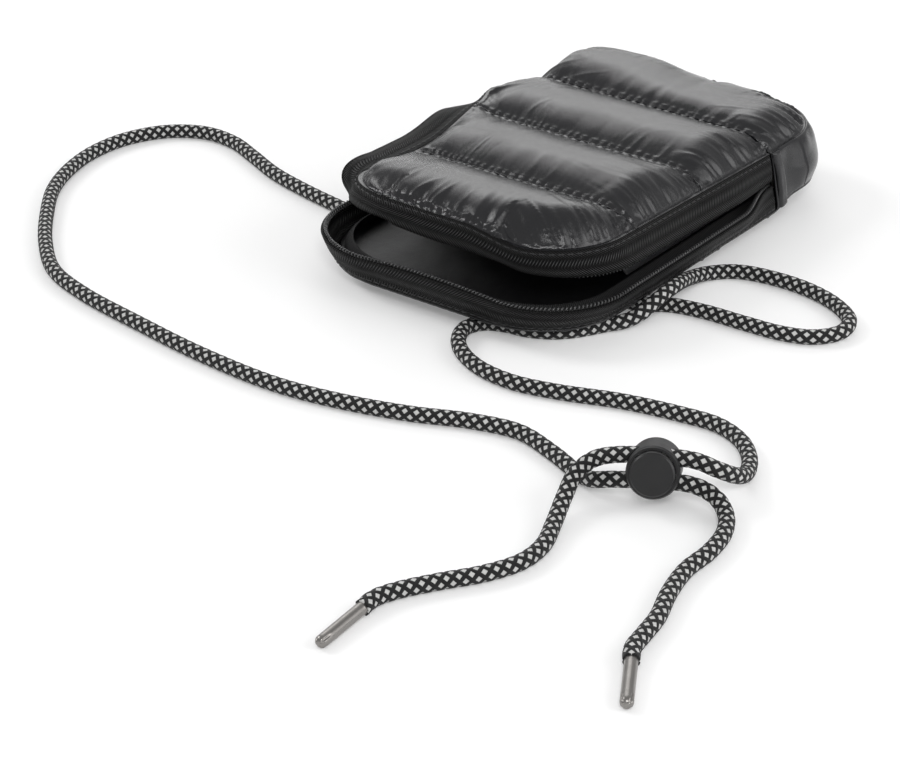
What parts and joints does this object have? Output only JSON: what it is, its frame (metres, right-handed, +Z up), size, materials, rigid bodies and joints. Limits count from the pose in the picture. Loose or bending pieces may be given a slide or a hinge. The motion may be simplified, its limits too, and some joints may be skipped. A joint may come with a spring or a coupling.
{
  "type": "phone pouch",
  "caption": "Quilted soft pouch with a zip that opens round three sides, a pleated inner pocket and a braided shoulder cord with a sliding cord lock and metal tips.",
  "frame": {"origin": "middle of the pouch's footprint, the cord left out, on the surface that its back puffs rest on", "axes": "+X towards the side where the zip ends near the cord's slack loop, +Y from the mouth to the hinge end, +Z up from the back panel to the front panel"},
  "size_m": [0.3801, 0.3715, 0.0432],
  "materials": {
    "quilted_nylon": "glossy coated nylon, quilted",
    "lining": "satin",
    "wadding": "soft fleece",
    "pocket_cloth": "satin coated nylon",
    "zip_tape": "herringbone weave",
    "coil": "glossy",
    "gunmetal": "gunmetal plated",
    "braid": "round braid, dark with pale flecks",
    "webbing": "ribbed weave",
    "lock_plastic": "satin",
    "spring_steel": "bright wire"
  },
  "bodies": {
    "pouch": {"end_panel": "quilted_nylon", "end_wadding": "wadding", "end_lining": "lining", "end_gusset": "quilted_nylon", "gusset_lining": "lining", "back_panel": "quilted_nylon", "back_wadding": "wadding", "back_lining": "lining", "rim_binding": "zip_tape", "lower_tape": "zip_tape", "lower_coil": "coil", "held_zip": "zip_tape", "near_tab": "quilted_nylon", "far_tab": "quilted_nylon", "near_stop": "gunmetal", "far_stop": "gunmetal", "pocket_panel": "pocket_cloth", "pocket_hem": "pocket_cloth", "pocket_side_near": "pocket_cloth", "pocket_side_far": "pocket_cloth", "pocket_end": "pocket_cloth", "cord_loop_near": "webbing", "cord_loop_far": "webbing", "cord_near": "braid", "cord_middle": "braid", "cord_far": "braid", "aglet_near": "gunmetal", "aglet_far": "gunmetal"},
    "lid": {"front_panel": "quilted_nylon", "front_wadding": "wadding", "front_lining": "lining", "upper_tape": "zip_tape", "upper_coil": "coil"},
    "slider": {"zip_slider": "gunmetal"},
    "puller": {"zip_puller": "gunmetal"},
    "lock": {"lock_barrel": "lock_plastic", "lock_spring": "spring_steel"},
    "plunger": {"lock_plunger": "lock_plastic"}
  },
  "joints": [
    {"name": "lid_hinge", "type": "hinge", "parent": "pouch", "child": "lid", "pos_m": [0, 0.0455, 0.035], "axis": [-1, 0, 0], "range_deg": [-2, 78]},
    {"name": "zip_run", "type": "slide", "parent": "pouch", "child": "slider", "axis": [0, -1, 0], "range_m": [0, 0.05]},
    {"name": "puller_pivot", "type": "hinge", "parent": "slider", "child": "puller", "pos_m": [-0.05885, 0.035, 0.01764], "axis": [0, 0, 1], "range_deg": [0, 170]},
    {"name": "lock_run", "type": "slide", "parent": "pouch", "child": "lock", "axis": [0.8825, 0.4704, 0], "range_m": [-0.003, 0.003]},
    {"name": "plunger_press", "type": "slide", "parent": "lock", "child": "plunger", "axis": [-0.4471, 0.8388, -0.3107], "range_m": [0, 0.003], "stiffness_N_per_m": 300, "springref_m": -0.002, "deforming": ["lock_spring"]}
  ]
}
